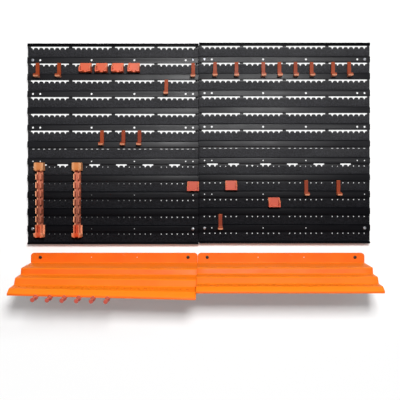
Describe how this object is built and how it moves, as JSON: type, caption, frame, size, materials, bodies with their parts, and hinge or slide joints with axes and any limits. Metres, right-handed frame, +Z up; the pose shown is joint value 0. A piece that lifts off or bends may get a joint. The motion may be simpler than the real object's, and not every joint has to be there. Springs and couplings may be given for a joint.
{
  "type": "pegboard tool organizer",
  "caption": "Wall-mounted tool organizer: two louvred black boards with notched slots, lift-off orange hooks, clips, holders and racks, over a stepped shelf.",
  "frame": {"origin": "on the wall at the boards' mid-height, where the two panels meet", "axes": "+X to the right along the wall, +Y into the wall, +Z up"},
  "size_m": [0.801, 0.1837, 0.5742],
  "materials": {
    "black_plastic": "black moulded plastic, fine grain between smooth bands",
    "hook_plastic": "orange moulded plastic, semi-gloss",
    "shelf_plastic": "orange moulded plastic, semi-gloss",
    "zinc_screw": "bright zinc plate",
    "black_screw": "black phosphated steel"
  },
  "bodies": {
    "root": {"panel_left": "black_plastic", "panel_right": "black_plastic", "panel_screw_left_1": "zinc_screw", "panel_screw_left_2": "zinc_screw", "panel_screw_left_3": "zinc_screw", "panel_screw_left_4": "zinc_screw", "panel_screw_right_1": "zinc_screw", "panel_screw_right_2": "zinc_screw", "panel_screw_right_3": "zinc_screw", "panel_screw_right_4": "zinc_screw", "shelf_left": "shelf_plastic", "shelf_right": "shelf_plastic", "shelf_screw_left_1": "black_screw", "shelf_screw_left_2": "black_screw", "shelf_screw_right_1": "black_screw", "shelf_screw_right_2": "black_screw", "lip_clip_1": "hook_plastic", "lip_clip_2": "hook_plastic", "lip_clip_3": "hook_plastic", "lip_clip_4": "hook_plastic", "lip_clip_5": "hook_plastic", "lip_clip_6": "hook_plastic"},
    "hook_1_body": {"hook_1": "hook_plastic"},
    "hook_2_body": {"hook_2": "hook_plastic"},
    "hook_3_body": {"hook_3": "hook_plastic"},
    "hook_4_body": {"hook_4": "hook_plastic"},
    "hook_5_body": {"hook_5": "hook_plastic"},
    "hook_6_body": {"hook_6": "hook_plastic"},
    "hook_7_body": {"hook_7": "hook_plastic"},
    "hook_8_body": {"hook_8": "hook_plastic"},
    "hook_9_body": {"hook_9": "hook_plastic"},
    "hook_10_body": {"hook_10": "hook_plastic"},
    "hook_11_body": {"hook_11": "hook_plastic"},
    "hook_12_body": {"hook_12": "hook_plastic"},
    "hook_13_body": {"hook_13": "hook_plastic"},
    "hook_14_body": {"hook_14": "hook_plastic"},
    "hook_15_body": {"hook_15": "hook_plastic"},
    "hook_16_body": {"hook_16": "hook_plastic"},
    "hook_17_body": {"hook_17": "hook_plastic"},
    "hook_18_body": {"hook_18": "hook_plastic"},
    "key_clip_1_body": {"key_clip_1": "hook_plastic"},
    "key_clip_2_body": {"key_clip_2": "hook_plastic"},
    "key_clip_3_body": {"key_clip_3": "hook_plastic"},
    "key_clip_4_body": {"key_clip_4": "hook_plastic"},
    "driver_holder_1_body": {"driver_holder_1": "hook_plastic"},
    "driver_holder_2_body": {"driver_holder_2": "hook_plastic"},
    "twin_holder_1_body": {"twin_holder_1": "hook_plastic"},
    "rack_1_body": {"rack_1": "hook_plastic"},
    "rack_2_body": {"rack_2": "hook_plastic"}
  },
  "joints": [
    {"name": "hook_1_lift_off", "type": "slide", "parent": "root", "child": "hook_1_body", "axis": [0, -0.8829, 0.4695], "range_m": [0, 0.022]},
    {"name": "hook_2_lift_off", "type": "slide", "parent": "root", "child": "hook_2_body", "axis": [0, -0.8829, 0.4695], "range_m": [0, 0.022]},
    {"name": "hook_3_lift_off", "type": "slide", "parent": "root", "child": "hook_3_body", "axis": [0, -0.8829, 0.4695], "range_m": [0, 0.022]},
    {"name": "hook_4_lift_off", "type": "slide", "parent": "root", "child": "hook_4_body", "axis": [0, -0.8829, 0.4695], "range_m": [0, 0.022]},
    {"name": "hook_5_lift_off", "type": "slide", "parent": "root", "child": "hook_5_body", "axis": [0, -0.8829, 0.4695], "range_m": [0, 0.022]},
    {"name": "hook_6_lift_off", "type": "slide", "parent": "root", "child": "hook_6_body", "axis": [0, -0.8829, 0.4695], "range_m": [0, 0.022]},
    {"name": "hook_7_lift_off", "type": "slide", "parent": "root", "child": "hook_7_body", "axis": [0, -0.8829, 0.4695], "range_m": [0, 0.022]},
    {"name": "hook_8_lift_off", "type": "slide", "parent": "root", "child": "hook_8_body", "axis": [0, -0.8829, 0.4695], "range_m": [0, 0.022]},
    {"name": "hook_9_lift_off", "type": "slide", "parent": "root", "child": "hook_9_body", "axis": [0, -0.8829, 0.4695], "range_m": [0, 0.022]},
    {"name": "hook_10_lift_off", "type": "slide", "parent": "root", "child": "hook_10_body", "axis": [0, -0.8829, 0.4695], "range_m": [0, 0.022]},
    {"name": "hook_11_lift_off", "type": "slide", "parent": "root", "child": "hook_11_body", "axis": [0, -0.8829, 0.4695], "range_m": [0, 0.022]},
    {"name": "hook_12_lift_off", "type": "slide", "parent": "root", "child": "hook_12_body", "axis": [0, -0.8829, 0.4695], "range_m": [0, 0.022]},
    {"name": "hook_13_lift_off", "type": "slide", "parent": "root", "child": "hook_13_body", "axis": [0, -0.8829, 0.4695], "range_m": [0, 0.022]},
    {"name": "hook_14_lift_off", "type": "slide", "parent": "root", "child": "hook_14_body", "axis": [0, -0.8829, 0.4695], "range_m": [0, 0.022]},
    {"name": "hook_15_lift_off", "type": "slide", "parent": "root", "child": "hook_15_body", "axis": [0, -0.8829, 0.4695], "range_m": [0, 0.022]},
    {"name": "hook_16_lift_off", "type": "slide", "parent": "root", "child": "hook_16_body", "axis": [0, -0.8829, 0.4695], "range_m": [0, 0.022]},
    {"name": "hook_17_lift_off", "type": "slide", "parent": "root", "child": "hook_17_body", "axis": [0, -0.8829, 0.4695], "range_m": [0, 0.022]},
    {"name": "hook_18_lift_off", "type": "slide", "parent": "root", "child": "hook_18_body", "axis": [0, -0.8829, 0.4695], "range_m": [0, 0.022]},
    {"name": "key_clip_1_lift_off", "type": "slide", "parent": "root", "child": "key_clip_1_body", "axis": [0, -0.8829, 0.4695], "range_m": [0, 0.022]},
    {"name": "key_clip_2_lift_off", "type": "slide", "parent": "root", "child": "key_clip_2_body", "axis": [0, -0.8829, 0.4695], "range_m": [0, 0.022]},
    {"name": "key_clip_3_lift_off", "type": "slide", "parent": "root", "child": "key_clip_3_body", "axis": [0, -0.8829, 0.4695], "range_m": [0, 0.022]},
    {"name": "key_clip_4_lift_off", "type": "slide", "parent": "root", "child": "key_clip_4_body", "axis": [0, -0.8829, 0.4695], "range_m": [0, 0.022]},
    {"name": "driver_holder_1_lift_off", "type": "slide", "parent": "root", "child": "driver_holder_1_body", "axis": [0, -0.8829, 0.4695], "range_m": [0, 0.022]},
    {"name": "driver_holder_2_lift_off", "type": "slide", "parent": "root", "child": "driver_holder_2_body", "axis": [0, -0.8829, 0.4695], "range_m": [0, 0.022]},
    {"name": "twin_holder_1_lift_off", "type": "slide", "parent": "root", "child": "twin_holder_1_body", "axis": [0, -0.8829, 0.4695], "range_m": [0, 0.022]},
    {"name": "rack_1_lift_off", "type": "slide", "parent": "root", "child": "rack_1_body", "axis": [0, -0.8829, 0.4695], "range_m": [0, 0.022]},
    {"name": "rack_2_lift_off", "type": "slide", "parent": "root", "child": "rack_2_body", "axis": [0, -0.8829, 0.4695], "range_m": [0, 0.022]}
  ]
}
